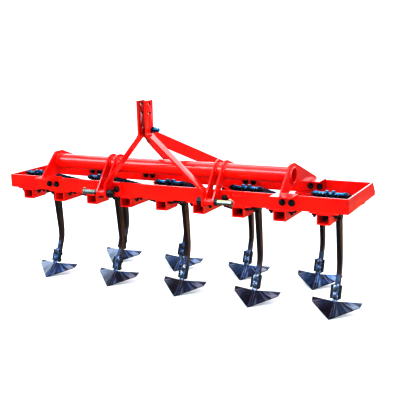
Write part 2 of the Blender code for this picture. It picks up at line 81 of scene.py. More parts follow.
CAMERA_PLACE = spot(1.857, -3.155, 0.720)
CAMERA_YAW = math.radians(27.46)
CAMERA_PITCH = math.radians(12.33)
CAMERA_ROLL = math.radians(-1.55)
CAMERA_LENS = 68.18             # millimetres, on a 36 mm sensor

ahead = Vector((-math.sin(CAMERA_YAW) * math.cos(CAMERA_PITCH),
                math.cos(CAMERA_YAW) * math.cos(CAMERA_PITCH), -math.sin(CAMERA_PITCH)))
level = Vector((math.cos(CAMERA_YAW), math.sin(CAMERA_YAW), 0.0))
upward = level.cross(ahead)
rightward = level * math.cos(CAMERA_ROLL) + upward * math.sin(CAMERA_ROLL)
upward = upward * math.cos(CAMERA_ROLL) - level * math.sin(CAMERA_ROLL)
camera_data = bpy.data.cameras.new("camera")
camera_data.lens = CAMERA_LENS
camera = bpy.data.objects.new("camera", camera_data)
camera_turn = Matrix((rightward, upward, -ahead)).transposed().to_4x4()
camera.matrix_world = Matrix.Translation(CAMERA_PLACE) @ camera_turn
bpy.context.scene.collection.objects.link(camera)
bpy.context.scene.camera = camera

FLOOR_HALF = 40.0
FLOOR_COLOUR = (0.78, 0.78, 0.78, 1.0)
FLOOR_PALER = (0.80, 0.80, 0.80, 1.0)


class Value:
    """One output socket of a node, so that maths on it reads as Python."""

    def __init__(self, graph, socket):
        self.graph, self.socket = graph, socket

    def maths(self, operation, a, b):
        return self.graph.node("ShaderNodeMath", {"operation": operation}, {0: a, 1: b})

    def __add__(self, other):
        return self.maths("ADD", self, other)

    def __sub__(self, other):
        return self.maths("SUBTRACT", self, other)

    def __rsub__(self, other):
        return self.maths("SUBTRACT", other, self)

    def __mul__(self, other):
        return self.maths("MULTIPLY", self, other)

    def __truediv__(self, other):
        return self.maths("DIVIDE", self, other)

    def __neg__(self):
        return self.maths("MULTIPLY", self, -1.0)

    __radd__ = __add__
    __rmul__ = __mul__

    def between(self, low, high):
        """0 below low, 1 above high, and a smooth step between them."""
        return self.graph.node("ShaderNodeMapRange", {"interpolation_type": "SMOOTHSTEP"},
                               {"Value": self, "From Min": low, "From Max": high})

    def axis(self, letter):
        """One part of a vector."""
        return self.graph.node("ShaderNodeSeparateXYZ", None, {"Vector": self}, out=letter)


class Graph:
    """A node tree that is filled one node at a time."""

    def __init__(self, tree):
        self.tree = tree

    def node(self, kind, settings=None, sockets=None, out=0):
        made = self.tree.nodes.new(kind)
        for name, value in (settings or {}).items():
            setattr(made, name, value)
        for name, value in (sockets or {}).items():
            if isinstance(value, Value):
                self.tree.links.new(value.socket, made.inputs[name])
            else:
                made.inputs[name].default_value = value
        return Value(self, made.outputs[out] if len(made.outputs) else None)

    def blend(self, share, first, second):
        """Colour first where share is 0 and second where it is 1."""
        return self.node("ShaderNodeMix", {"data_type": "RGBA"}, {0: share, 6: first, 7: second}, out=2)

    def noise(self, place, scale, detail=3.0, roughness=0.5, distortion=0.0):
        return self.node("ShaderNodeTexNoise", None, {
            "Vector": place, "Scale": scale, "Detail": detail, "Roughness": roughness,
            "Distortion": distortion})


class Finish(Graph):
    """A material. coat() ends its tree in one Principled shader."""

    def __init__(self, name):
        self.material = bpy.data.materials.new(name)
        self.material.use_nodes = True
        self.material.node_tree.nodes.clear()
        super().__init__(self.material.node_tree)
        self.place = self.node("ShaderNodeTexCoord", out="Object")

    def stretched(self, x, y, z):
        """Object coordinates scaled along each axis."""
        return self.node("ShaderNodeMapping", None, {"Vector": self.place, "Scale": (x, y, z)})

    def bump(self, height, distance, strength):
        return self.node("ShaderNodeBump", None, {
            "Height": height, "Distance": distance, "Strength": strength})

    def coat(self, **sockets):
        names = {name.replace("_", " "): value for name, value in sockets.items()}
        shader = self.node("ShaderNodeBsdfPrincipled", None, names)
        self.node("ShaderNodeOutputMaterial", None, {"Surface": shader})
        return self.material


def mesh_piece(name, verts, faces, material):
    """A mesh object at the origin, its place in its vertices."""
    mesh = bpy.data.meshes.new(name)
    mesh.from_pydata([tuple(v) for v in verts], [], faces)
    mesh.materials.append(material)
    obj = bpy.data.objects.new(name, mesh)
    bpy.context.scene.collection.objects.link(obj)
    return obj


studio = Finish("studio floor")
floor_grain = studio.noise(studio.place, 3.0)
studio_floor = studio.coat(Base_Color=studio.blend(floor_grain, FLOOR_COLOUR, FLOOR_PALER), Roughness=0.9)
floor_corners = [(x * FLOOR_HALF, y * FLOOR_HALF, 0.0) for x, y in ((-1, -1), (1, -1), (1, 1), (-1, 1))]
floor = mesh_piece("floor", floor_corners, [(0, 1, 2, 3)], studio_floor)
floor.visible_glossy = False      # the enamel mirrors the dim side of the room, not the floor

UNDERFLOOR_LIGHT = 0.05         # what low faces mirror in place of the floor
ROOM_LIGHT = 0.72
SIDE_LIGHT = 0.6                # from the right
CEILING_LIGHT = 1.3
BACKDROP_LIGHT = 1.3            # the bright wall behind the machine, up to a third of the way up
WINDOW_LIGHT = 1.8              # higher up behind the machine
EARTH_LIGHT = 0.55              # what low faces turned to the right mirror, a warm ground
COOL = (0.90, 0.95, 1.0, 1.0)
WARM = (0.62, 0.52, 0.26, 1.0)
world = bpy.data.worlds.new("studio room")
world.use_nodes = True
world.node_tree.nodes.clear()
room = Graph(world.node_tree)
toward = room.node("ShaderNodeTexCoord", out="Generated")
behind = toward.axis("Y").between(0.20, 0.85)
rise = toward.axis("Z")
above_floor = rise.between(-0.075, -0.035)
wall = above_floor * (1.0 - rise.between(0.30, 0.75))
window = behind * rise.between(0.26, 0.40) * (1.0 - rise.between(0.52, 0.68))
across = toward.axis("X")
aside = across.between(0.55, 0.95)
earth = across.between(0.15, 0.40) * (1.0 - rise.between(-0.26, -0.12))
glow = (UNDERFLOOR_LIGHT + above_floor * ROOM_LIGHT + (behind * BACKDROP_LIGHT + aside * SIDE_LIGHT) * wall
        + window * WINDOW_LIGHT + rise.between(0.80, 0.92) * CEILING_LIGHT + earth * EARTH_LIGHT)
tint = room.blend(earth, COOL, WARM)
surround = room.node("ShaderNodeBackground", None, {"Color": tint, "Strength": glow})
room.node("ShaderNodeOutputWorld", None, {"Surface": surround})
bpy.context.scene.world = world
bpy.context.scene.view_settings.view_transform = "Standard"
bpy.context.scene.view_settings.look = "High Contrast"

DAYLIGHT = (0.76, 0.88, 1.0)


def softbox(name, place, target, wide, high, watts):
    """A rectangular area light of cool daylight that faces its target."""
    data = bpy.data.lights.new(name, "AREA")
    data.shape, data.size, data.size_y, data.energy = "RECTANGLE", wide, high, watts
    data.color = DAYLIGHT
    light = bpy.data.objects.new(name, data)
    light.location = place
    light.rotation_euler = (Vector(target) - Vector(place)).to_track_quat("-Z", "Y").to_euler()
    bpy.context.scene.collection.objects.link(light)


softbox("overhead", place=(0.0, 0.6, 3.0), target=(0.0, 0.0, 0.6), wide=4.5, high=0.7, watts=40.0)
softbox("front", place=(-1.1, -3.4, 3.3), target=(-0.2, 0.0, 0.5), wide=5.2, high=1.8, watts=225.0)

# The red weldment: two angle beams, end plates, tine tubes, the cross pipe with its brackets,
# the lower hitch cheeks, the mast and its stays. All of it is plate, tube and angle steel, cut,
# welded and dipped in glossy red enamel, with painted shade in the narrow gap between the mast bars.
ENAMEL_RED = (0.720, 0.0080, 0.0008, 1.0)
ENAMEL_DEEP = (0.580, 0.0015, 0.0010, 1.0)
ENAMEL_THIN = (0.740, 0.0150, 0.0050, 1.0)
ENAMEL_SPECK = (0.95, 0.35, 0.30, 1.0)
# Painted shade colour, used in the gap between the mast bars and on the walls of the top link's holes.
ENAMEL_SHADE = (0.160, 0.0020, 0.0006, 1.0)
# Painted shadow colour for the walls of the top link's holes.
ENAMEL_HOLE_SHADOW = (0.050, 0.003, 0.002, 1.0)
ENAMEL_BREAK = 0.0012           # how far the edges of a red piece are broken
SHARP_EDGE = math.radians(28.0)
SMOOTH_BELOW = math.radians(24.0)
MAST_GAP = ends("mast_bar_right", "x")[0]           # from the middle to a bar's inner face
MAST_GAP_FOOT = BEAM_TOP + 0.19
MAST_TOP = ends("mast_bar_right", "z")[1]
MAST_HOLES = (MAST_TOP - 0.018, MAST_TOP - 0.062)   # heights of the top link's holes
MAST_HOLE_Y = -0.117
MAST_HOLE_RADIUS = 0.0097

enamel = Finish("red enamel")
drift = enamel.noise(enamel.place, 5.5, detail=4.0, roughness=0.6)
orange_peel = enamel.noise(enamel.place, 260.0, detail=2.0)
sag = enamel.noise(enamel.stretched(34.0, 34.0, 7.0), 1.0, detail=2.0)
speck = enamel.noise(enamel.place, 900.0, detail=1.0).between(0.70, 0.78)
enamel_colour = enamel.blend(drift.between(0.40, 0.72), ENAMEL_RED, ENAMEL_DEEP)
enamel_colour = enamel.blend(sag.between(0.58, 0.75) * 0.45, enamel_colour, ENAMEL_THIN)
enamel_colour = enamel.blend(speck * 0.30, enamel_colour, ENAMEL_SPECK)
off_middle = enamel.place.axis("X") * enamel.place.axis("X")
outside_gap = off_middle.between(MAST_GAP ** 2 * 1.02, MAST_GAP ** 2 * 1.12)
# Painted shade: the enamel is darkened in the narrow gap between the mast bars.
painted_shade_between_bars = (1.0 - outside_gap) * enamel.place.axis("Z").between(MAST_GAP_FOOT, MAST_GAP_FOOT + 0.04)
enamel_colour = enamel.blend(painted_shade_between_bars * 0.60, enamel_colour, ENAMEL_SHADE)
red_enamel = enamel.coat(
    Base_Color=enamel_colour,
    Roughness=0.26 + drift * 0.16 + speck * 0.2,
    Specular_IOR_Level=0.12,
    Coat_Weight=0.85 - sag.between(0.5, 0.8) * 0.35,
    Coat_Roughness=0.05,
    Normal=enamel.bump(orange_peel * 0.35 + sag, 0.0006, 0.45))

TINE_COUNT = 9
RED_NODES = (["frame_front_beam", "frame_rear_beam", "frame_end_plate_left", "frame_end_plate_right",
              "cross_pipe", "pipe_bracket_left", "pipe_bracket_right", "hitch_left", "hitch_right",
              "mast_bar_left", "mast_bar_right", "rear_stay_left", "rear_stay_right"]
             + [f"tine_tube_{i + 1}" for i in range(TINE_COUNT)])


def baked(source, name):
    """The plain mesh that an object's modifiers give, as a new object; the source is removed."""
    bpy.context.view_layer.update()
    result = source.evaluated_get(bpy.context.evaluated_depsgraph_get())
    mesh = bpy.data.meshes.new_from_object(result)
    bpy.data.objects.remove(source)
    mesh.name = name
    for face in mesh.polygons:
        face.use_smooth = True
    mesh.set_sharp_from_angle(angle=SMOOTH_BELOW)
    obj = bpy.data.objects.new(name, mesh)
    bpy.context.scene.collection.objects.link(obj)
    return obj


def broken_edges(node, name, width, material):
    """A copy of a CAD solid with its sharp edges rounded, which stands for the solid."""
    mesh = bpy.data.meshes.new(name)
    shape = bmesh.new()
    shape.from_mesh(frame["nodes"][node].data)
    bmesh.ops.remove_doubles(shape, verts=shape.verts, dist=0.00002)
    bmesh.ops.dissolve_limit(shape, angle_limit=math.radians(1.0), verts=shape.verts, edges=shape.edges)
    shape.to_mesh(mesh)
    shape.free()
    mesh.materials.clear()
    mesh.materials.append(material)
    source = bpy.data.objects.new(name + "_source", mesh)
    bpy.context.scene.collection.objects.link(source)
    bevel = source.modifiers.new("broken edges", "BEVEL")
    bevel.width, bevel.segments, bevel.limit_method, bevel.angle_limit = width, 2, "ANGLE", SHARP_EDGE
    obj = baked(source, name)
    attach(obj, "root")
    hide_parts(node)
    return obj


for node in RED_NODES:
    broken_edges(node, node + "_enamelled", ENAMEL_BREAK, red_enamel)

# The walls of the top link's two holes, bored through both mast bars: painted shade on all
# but their lowest, upward-facing part, which keeps the plain red enamel.
hole_shade = Finish("grimy enamel")
shade_mottle = hole_shade.noise(hole_shade.place, 90.0)
painted_shade_enamel = hole_shade.coat(
    Base_Color=hole_shade.blend(shade_mottle.between(0.40, 0.70), ENAMEL_HOLE_SHADOW, ENAMEL_SHADE),
    Roughness=0.55 + shade_mottle * 0.2,
    Specular_IOR_Level=0.10,
    Normal=hole_shade.bump(shade_mottle, 0.0004, 0.4))
for side in ("left", "right"):
    bar = bpy.data.objects[f"mast_bar_{side}_enamelled"]
    bar.data.materials.append(painted_shade_enamel)
    for face in bar.data.polygons:
        off_hole = min((face.center - spot(face.center.x, MAST_HOLE_Y, z)).length for z in MAST_HOLES)
        # Painted shade on the hole walls that face sideways or down.
        if off_hole < MAST_HOLE_RADIUS * 1.12 and abs(face.normal.x) < 0.5 and face.normal.z < 0.35:
            face.material_index = 1

# The tines. The holder above the tube is blue-black steel mottled with teal, with bare glints
# and a painted teal highlight where it faces up or to the right. The forged shank is dipped in
# thin brown-black paint, rubbed to brown steel on its sides, less so towards the left, and blued
# by heat at its foot.
TINE_PITCH = ends("tine_2", "x")[0] - ends("tine_1", "x")[0]
ROW_SPACING = ends("tine_2", "y")[0] - ends("tine_1", "y")[0]
HEAD_HALF = 0.022               # the shank and its head are narrower than this
HEAD_FOOT = BEAM_TOP - 0.090    # the holder's finish ends here
HEATED_TOP = BEAM_TOP - 0.420   # the shank is blued below this
TINE_BREAK = 0.0014
TINE_BLACK = (0.016, 0.010, 0.010, 1.0)
TINE_BROWN = (0.150, 0.066, 0.028, 1.0)
TINE_BLUE = (0.060, 0.100, 0.150, 1.0)
FOOT_BLUE = (0.050, 0.110, 0.230, 1.0)
HOLDER_BLACK = (0.006, 0.018, 0.028, 1.0)
HOLDER_BARE = (0.300, 0.290, 0.340, 1.0)
# A real teal tint, also the colour of the painted highlight on faces turned up or to the right.
HOLDER_TEAL_AND_SHEEN = (0.004, 0.260, 0.500, 1.0)

forged = Finish("brown-black forged steel")
scale_skin = forged.noise(forged.stretched(60.0, 60.0, 9.0), 1.0, detail=5.0, roughness=0.65)
mottle = forged.noise(forged.place, 45.0, detail=5.0, roughness=0.7)
pitting = forged.noise(forged.place, 330.0, detail=2.0)
normal = forged.node("ShaderNodeNewGeometry", out="Normal")
rightward_face = normal.axis("X").between(0.55, 0.95)
# Faces turned up, where a teal highlight is painted on the holder.
painted_top_sheen = normal.axis("Z").between(0.55, 0.90)
sideways = rightward_face + (-normal.axis("X")).between(0.55, 0.95)
height = forged.place.axis("Z")
off_shank = forged.node("ShaderNodeAttribute", {"attribute_name": "off_shank"}, out="Fac")
holder = off_shank.maths("MAXIMUM", off_shank, height.between(HEAD_FOOT, HEAD_FOOT + 0.014))
rubbed = sideways * scale_skin.between(0.36, 0.60) * 0.80 + scale_skin.between(0.58, 0.80) * 0.25
toward_left = (-forged.place.axis("X")).between(0.15, 0.75)
shank_colour = forged.blend(rubbed * (1.0 - toward_left * 0.75), TINE_BLACK, TINE_BROWN)
shank_colour = forged.blend(mottle.between(0.60, 0.74) * 0.35, shank_colour, TINE_BLUE)
low_down = 1.0 - height.between(HEATED_TOP - 0.020, HEATED_TOP)
heated = low_down * (1.0 - sideways) * mottle.between(0.36, 0.60)
shank_colour = forged.blend(heated * 0.80, shank_colour, FOOT_BLUE)
# Painted highlight: teal on faces turned up, over a real teal mottle.
holder_colour = forged.blend(mottle.between(0.40, 0.80) * 0.45 + painted_top_sheen * 0.50, HOLDER_BLACK, HOLDER_TEAL_AND_SHEEN)
glint = forged.noise(forged.place, 120.0, detail=2.0).between(0.55, 0.63) * (1.0 - painted_top_sheen)
holder_colour = forged.blend(glint * 0.55, holder_colour, HOLDER_BARE)
# Painted highlight: teal on faces turned to the right.
holder_colour = forged.blend(rightward_face * 0.80, holder_colour, HOLDER_TEAL_AND_SHEEN)
brown_black = forged.coat(
    Base_Color=forged.blend(holder, shank_colour, holder_colour),
    Metallic=mottle.between(0.55, 0.75) * 0.15 + holder * 0.85,
    Roughness=0.36 + scale_skin * 0.22 - holder * 0.20,
    Specular_IOR_Level=0.25,
    Normal=forged.bump(pitting * 0.4 + scale_skin, 0.0009, 0.6))


def tine_place(i):
    """x of tine i, counted from 0 at the left, and y of its row behind the front row."""
    return (i - (TINE_COUNT - 1) / 2) * TINE_PITCH, (ROW_SPACING if i % 2 else 0.0)


for i in range(TINE_COUNT):
    tine = broken_edges(f"tine_{i + 1}", f"tine_{i + 1}_forged", TINE_BREAK, brown_black)
    share = tine.data.attributes.new("off_shank", "FLOAT", "POINT")
    for vertex, item in zip(tine.data.vertices, share.data):
        item.value = 1.0 if abs(vertex.co.x - tine_place(i)[0]) > HEAD_HALF else 0.0

# The sweeps: duck-foot points pressed from hardened plate, blued by the heat, with grinding
# streaks that run out from the neck towards the cutting edges. The rear row and the left end
# are brighter, the left wings there are ground bare, and the clamp plates are black.
BLUED = (0.036, 0.066, 0.135, 1.0)
BLUED_REAR = (0.044, 0.115, 0.270, 1.0)
BLUED_DARK = (0.011, 0.008, 0.014, 1.0)
BLUED_PALE = (0.560, 0.640, 0.800, 1.0)
BLUED_WORN = (0.300, 0.320, 0.380, 1.0)
CLAMP_BLACK = (0.005, 0.005, 0.007, 1.0)
CLAMP_BLUE = (0.030, 0.036, 0.055, 1.0)
SWEEP_BREAK = 0.0010
NECK = (0.190, -0.545)          # y behind the row's front line and z of the neck's foot
REAR_FROM = BEAM_FRONT + NECK[0] + 0.16
TONGUE_HALF = 0.0145
CLAMP_PLATE_HALF = 0.030
CLAMP_PLATE_FOOT = 0.010        # above the neck's foot

blued = Finish("blued steel")
from_neck = blued.node("ShaderNodeAttribute", {"attribute_name": "from_neck"}, out="Vector")
across_it = from_neck.axis("X")
along_it = from_neck.axis("Y")
above_neck = from_neck.axis("Z").between(-0.004, 0.004)
outward = across_it * across_it
fan = across_it.maths("ARCTAN2", across_it, 0.02 - along_it)
spread = blued.node("ShaderNodeCombineXYZ", None, {
    "X": fan * 9.0, "Y": along_it * 7.0, "Z": across_it * 4.0})
streak = blued.noise(spread, 1.0, detail=5.0, roughness=0.65, distortion=0.3)
cloud = blued.noise(blued.place, 16.0, detail=4.0, roughness=0.6, distortion=0.8)
fine = blued.noise(blued.place, 420.0, detail=2.0)
rear_row = blued.place.axis("Y").between(REAR_FROM, REAR_FROM + 0.04)
left_end = (-blued.place.axis("X")).between(0.25, 0.65)
brighter = rear_row.maths("MAXIMUM", rear_row, left_end)
blued_colour = blued.blend(cloud.between(0.34, 0.60), BLUED_DARK, blued.blend(brighter, BLUED, BLUED_REAR))
blued_colour = blued.blend((1.0 - streak).between(0.46, 0.58) * 0.85, blued_colour, BLUED_DARK)
blued_colour = blued.blend(streak.between(0.58, 0.70) * 0.80, blued_colour, BLUED_PALE)
worn_tip = outward.between(0.0025, 0.0100) * streak.between(0.38, 0.60) * 0.55
blued_colour = blued.blend(worn_tip, blued_colour, BLUED_WORN)
ridge = (1.0 - outward.between(0.0002, 0.0030)) * (1.0 - above_neck)
blued_colour = blued.blend(ridge * (0.65 - rear_row * 0.40), blued_colour, BLUED_DARK)
left_wing = (-across_it).between(0.003, 0.014) * (1.0 - above_neck) * left_end
blued_colour = blued.blend(left_wing * streak.between(0.34, 0.54) * 0.60, blued_colour, BLUED_PALE)
# Pale mottle on the tongue: temper colour, and partly a painted highlight.
temper_and_highlight = blued.noise(blued.place, 85.0, detail=3.0, roughness=0.6)
blued_colour = blued.blend(above_neck * temper_and_highlight.between(0.50, 0.60) * 0.42, blued_colour, BLUED_PALE)
blued_steel = blued.coat(
    Base_Color=blued_colour,
    Metallic=0.70 + cloud * 0.2,
    Roughness=0.22 + streak * 0.26,
    Normal=blued.bump(fine * 0.2 + streak, 0.0010, 0.6))

clamp = Finish("black clamp plate")
clamp_skin = clamp.noise(clamp.place, 80.0, detail=4.0, roughness=0.65)
black_clamp = clamp.coat(
    Base_Color=clamp.blend(clamp_skin.between(0.50, 0.75), CLAMP_BLACK, CLAMP_BLUE),
    Metallic=0.20,
    Roughness=0.38 + clamp_skin * 0.2,
    Specular_IOR_Level=0.30,
    Normal=clamp.bump(clamp_skin, 0.0006, 0.5))

for i in range(TINE_COUNT):
    x, row = tine_place(i)
    middle = spot(x, NECK[0] + row, NECK[1])
    sweep = broken_edges(f"sweep_{i + 1}", f"sweep_{i + 1}_blued", SWEEP_BREAK, blued_steel)
    offsets = sweep.data.attributes.new("from_neck", "FLOAT_VECTOR", "POINT")
    for vertex, offset in zip(sweep.data.vertices, offsets.data):
        offset.vector = vertex.co - middle
    sweep.data.materials.append(black_clamp)
    for face in sweep.data.polygons:
        place = face.center - middle
        if TONGUE_HALF < abs(place.x) < CLAMP_PLATE_HALF and place.z > CLAMP_PLATE_FOOT:
            face.material_index = 1

# The lower link pins: turned steel with a yellowish zinc plate, tarnished in spots, and black
# between the cheeks. The bolt through the mast has the holders' blue-black finish, painted teal highlight
# included.
ZINC_PALE = (0.42, 0.50, 0.52, 1.0)
ZINC_YELLOW = (0.34, 0.37, 0.13, 1.0)
ZINC_DULL = (0.070, 0.120, 0.120, 1.0)
OXIDE_BLACK = (0.008, 0.013, 0.017, 1.0)
OXIDE_BLUE = (0.030, 0.060, 0.075, 1.0)
PIN_BREAK = 0.0008
PIN_BLACK_WITHIN = 0.345        # from the machine's middle

plating = Finish("zinc plate")
zinc_cloud = plating.noise(plating.place, 60.0, detail=3.0)
turning = plating.noise(plating.stretched(700.0, 4.0, 4.0), 1.0, detail=1.0)
tarnish = plating.noise(plating.place, 170.0, detail=3.0).between(0.50, 0.60)
zinc_colour = plating.blend(zinc_cloud.between(0.4, 0.7), ZINC_PALE, ZINC_YELLOW)
zinc_plate = plating.coat(
    Base_Color=plating.blend(tarnish * 0.75, zinc_colour, ZINC_DULL),
    Metallic=0.95,
    Roughness=0.34 + zinc_cloud * 0.18,
    Normal=plating.bump(turning, 0.0004, 0.5))

oxide = Finish("black oxide steel")
oxide_cloud = oxide.noise(oxide.place, 70.0, detail=3.0)
black_oxide = oxide.coat(
    Base_Color=oxide.blend(oxide_cloud.between(0.45, 0.75), OXIDE_BLACK, OXIDE_BLUE),
    Metallic=0.4,
    Roughness=0.34 + oxide_cloud * 0.2,
    Normal=oxide.bump(oxide_cloud, 0.0004, 0.4))

for side in ("left", "right"):
    link_pin = broken_edges(f"link_pin_{side}", f"link_pin_{side}_plated", PIN_BREAK, zinc_plate)
    link_pin.data.materials.append(black_oxide)
    for face in link_pin.data.polygons:
        if abs(face.center.x) < PIN_BLACK_WITHIN:
            face.material_index = 1
broken_edges("mast_bolt", "mast_bolt_black", PIN_BREAK, brown_black)

# Bolts and nuts: black hexagon fasteners on washers. They hold the tubes' seats, the brackets'
# and hitch points' feet, the ends of the tines' cross bars and rods, and the sweeps' tongues,
# where the heads are round. A small screw sits at each end of the front beam.
BEAM_HEIGHT = -ends("frame_front_beam", "z")[0]
LEG_END = ends("frame_front_beam", "y")[1]          # the rear edge of its lower leg
PLATE_IN, PLATE_OUT = ends("frame_end_plate_right", "x")
BEAM_WALL = PLATE_OUT - PLATE_IN
FRAME_DEPTH = ends("pipe_bracket_right", "y")[1]    # to the rear beam's rear face
BRACKET_X = sum(ends("pipe_bracket_right", "x")) / 2
HITCH_X = sum(ends("hitch_right", "x")) / 2
FOOT_WALL = 0.0063              # a foot plate on a beam's face, with the gap under it
FRONT_BOLTS = ((BRACKET_X - 0.023, 0.0), (BRACKET_X + 0.023, 0.0),      # x and y
               (HITCH_X + 0.050, -FOOT_WALL), (HITCH_X - 0.050, -FOOT_WALL))
REAR_BOLTS = (BRACKET_X - 0.024, BRACKET_X + 0.024, HITCH_X - 0.022, HITCH_X + 0.022)
FRAME_BOLT_Z = -0.036
SEAT_BOLT_X = 0.050             # each side of the tube's middle
SEAT_BOLT_YS = (0.028, 0.070)   # the first goes through the beam's lower leg
SEAT_NUT_Z = -0.0755
REAR_SEAT = FRAME_DEPTH + 0.054     # the rear seats' bolts are counted forward from here
CROSS_BAR_END = (0.078, 0.104, -0.006)      # from the tube's middle, its row and the beams' top
REAR_ROW_DROP = 0.026           # the rear row's cross bars lie this much lower
ROD_END = (0.074, 0.376, -0.094)            # likewise, the rod behind the straps
TONGUE_FOOT = (0.209, -0.545)   # y behind the row's front line, and z
TONGUE_WAY = Vector((0, 0.371, 0.928))      # up along the tongue
TONGUE_OUT = Vector((0, -0.928, 0.371))     # out of its front face
TONGUE_BOLT_RISES = (0.010, 0.048)
TONGUE_FRONT, TONGUE_BACK = 0.0268, 0.0122  # its faces, counted along that
END_SCREW = (0.940, -0.019)     # x from the middle, and z
HEX_CORNER = 0.577              # a hexagon's corner radius, for its width across the flats
SPIN_LIMIT = 1.05               # a sixth of a turn, in radians


class Maker(Graph):
    """A Geometry Nodes tree with named inputs, run once on a mesh to give a plain piece."""

    def __init__(self, name, sizes):
        super().__init__(bpy.data.node_groups.new(name, "GeometryNodeTree"))
        face = self.tree.interface
        face.new_socket("Geometry", in_out="INPUT", socket_type="NodeSocketGeometry")
        self.ids = {}
        kinds = {label: "NodeSocketFloat" for label in sizes} | {"Finish": "NodeSocketMaterial"}
        for label, kind in kinds.items():
            self.ids[label] = face.new_socket(label, in_out="INPUT", socket_type=kind).identifier
        face.new_socket("Geometry", in_out="OUTPUT", socket_type="NodeSocketGeometry")
        given = self.tree.nodes.new("NodeGroupInput")
        self.given = {socket.name: Value(self, socket) for socket in given.outputs if socket.name}

    def join(self, *parts):
        made = self.tree.nodes.new("GeometryNodeJoinGeometry")
        for part in parts:
            self.tree.links.new(part.socket, made.inputs[0])
        return Value(self, made.outputs[0])

    def finish(self, instances):
        real = self.node("GeometryNodeRealizeInstances", None, {"Geometry": instances})
        dressed = self.node("GeometryNodeSetMaterial", None, {
            "Geometry": real, "Material": self.given["Finish"]})
        self.node("NodeGroupOutput", None, {"Geometry": dressed})

    def make(self, name, mesh, finish, slot, **sizes):
        """The piece that the tree gives from a mesh of points or lines."""
        source = bpy.data.objects.new(name + "_source", mesh)
        bpy.context.scene.collection.objects.link(source)
        modifier = source.modifiers.new(self.tree.name, "NODES")
        modifier.node_group = self.tree
        modifier[self.ids["Finish"]] = finish
        for label, value in sizes.items():
            modifier[self.ids[label]] = value
        obj = baked(source, name)
        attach(obj, "root")
        return obj


def points_with_aim(name, rows):
    """A mesh of loose points, each with the direction that its fastener points in."""
    mesh = bpy.data.meshes.new(name)
    mesh.from_pydata([tuple(spot(*place)) for place, aim in rows], [], [])
    aims = mesh.attributes.new("aim", "FLOAT_VECTOR", "POINT")
    for item, (place, aim) in zip(aims.data, rows):
        item.vector = aim
    return mesh


hex_bolts = Maker("hexagon fasteners", ("Width", "Height", "Washer", "Stud", "Sides"))
width, tall, washer = (hex_bolts.given[label] for label in ("Width", "Height", "Washer"))


def disc(sides, radius, depth, base, top_share=1.0):
    """An upright drum in the fastener's own place, from base to base plus depth."""
    shape = hex_bolts.node("GeometryNodeMeshCone", None, {
        "Vertices": sides, "Radius Bottom": radius, "Radius Top": radius * top_share, "Depth": depth})
    lift = hex_bolts.node("ShaderNodeCombineXYZ", None, {"Z": base})
    return hex_bolts.node("GeometryNodeTransform", None, {"Geometry": shape, "Translation": lift})


sides = hex_bolts.node("FunctionNodeFloatToInt", None, {0: hex_bolts.given["Sides"]})
fastener = hex_bolts.join(
    disc(20, width * 0.72, washer, 0.0, 0.97),
    disc(sides, width * HEX_CORNER, tall * 0.85, washer),
    disc(sides, width * HEX_CORNER, tall * 0.15, washer + tall * 0.85, 0.80),
    disc(12, width * 0.30, hex_bolts.given["Stud"], washer + tall, 0.88))
aim = hex_bolts.node("GeometryNodeInputNamedAttribute", {"data_type": "FLOAT_VECTOR"}, {"Name": "aim"})
turn = hex_bolts.node("FunctionNodeAlignRotationToVector", {"axis": "Z"}, {"Vector": aim})
twist = hex_bolts.node("FunctionNodeRandomValue", {"data_type": "FLOAT"},
                       {2: 0.0, 3: SPIN_LIMIT, "Seed": 4}, out=1)
spin = hex_bolts.node("FunctionNodeAxisAngleToRotation", None, {"Axis": (0.0, 0.0, 1.0), "Angle": twist})
turn = hex_bolts.node("FunctionNodeRotateRotation", {"rotation_space": "LOCAL"}, {0: turn, 1: spin})
hex_bolts.finish(hex_bolts.node("GeometryNodeInstanceOnPoints", None, {
    "Points": hex_bolts.given["Geometry"], "Instance": fastener, "Rotation": turn}))

CLAMPED = (2, 4, 6)             # the tubes with a clamp on each side, counted from 0
FORWARD, BACKWARD, UP, DOWN = (0, -1, 0), (0, 1, 0), (0, 0, 1), (0, 0, -1)
frame_bolts, plate_nuts, holder_nuts, tongue_bolts, tongue_nuts = [], [], [], [], []
for side in (-1, 1):
    for x, face in FRONT_BOLTS:
        frame_bolts.append(((side * x, face, FRAME_BOLT_Z), FORWARD))
    for x in REAR_BOLTS:
        frame_bolts.append(((side * x, FRAME_DEPTH - BEAM_WALL - FOOT_WALL, FRAME_BOLT_Z), FORWARD))
        frame_bolts.append(((side * x, FRAME_DEPTH, FRAME_BOLT_Z), BACKWARD))
for i in range(TINE_COUNT):
    x, y = tine_place(i)
    for side in (-1, 1):
        bolt_x = x + side * SEAT_BOLT_X
        for back in SEAT_BOLT_YS:
            if i not in CLAMPED:
                plate_nuts.append(((bolt_x, back, SEAT_NUT_Z), DOWN))
            plate_nuts.append(((bolt_x, back, -BEAM_HEIGHT + (BEAM_WALL if back < LEG_END else 0.0)), UP))
            if i % 2:
                plate_nuts.append(((bolt_x, REAR_SEAT - back, SEAT_NUT_Z), DOWN))
        for (off, back, up), drop in ((CROSS_BAR_END, REAR_ROW_DROP if i % 2 else 0.0), (ROD_END, 0.0)):
            holder_nuts.append(((x + side * off, y + back, up - drop), (side, 0, 0)))
    for rise in TONGUE_BOLT_RISES:
        foot = Vector((x, y + TONGUE_FOOT[0], TONGUE_FOOT[1])) + TONGUE_WAY * rise
        tongue_bolts.append((tuple(foot + TONGUE_OUT * TONGUE_FRONT), tuple(TONGUE_OUT)))
        tongue_nuts.append((tuple(foot - TONGUE_OUT * TONGUE_BACK), tuple(-TONGUE_OUT)))
end_screws = [((side * END_SCREW[0], 0.0, END_SCREW[1]), FORWARD) for side in (-1, 1)]

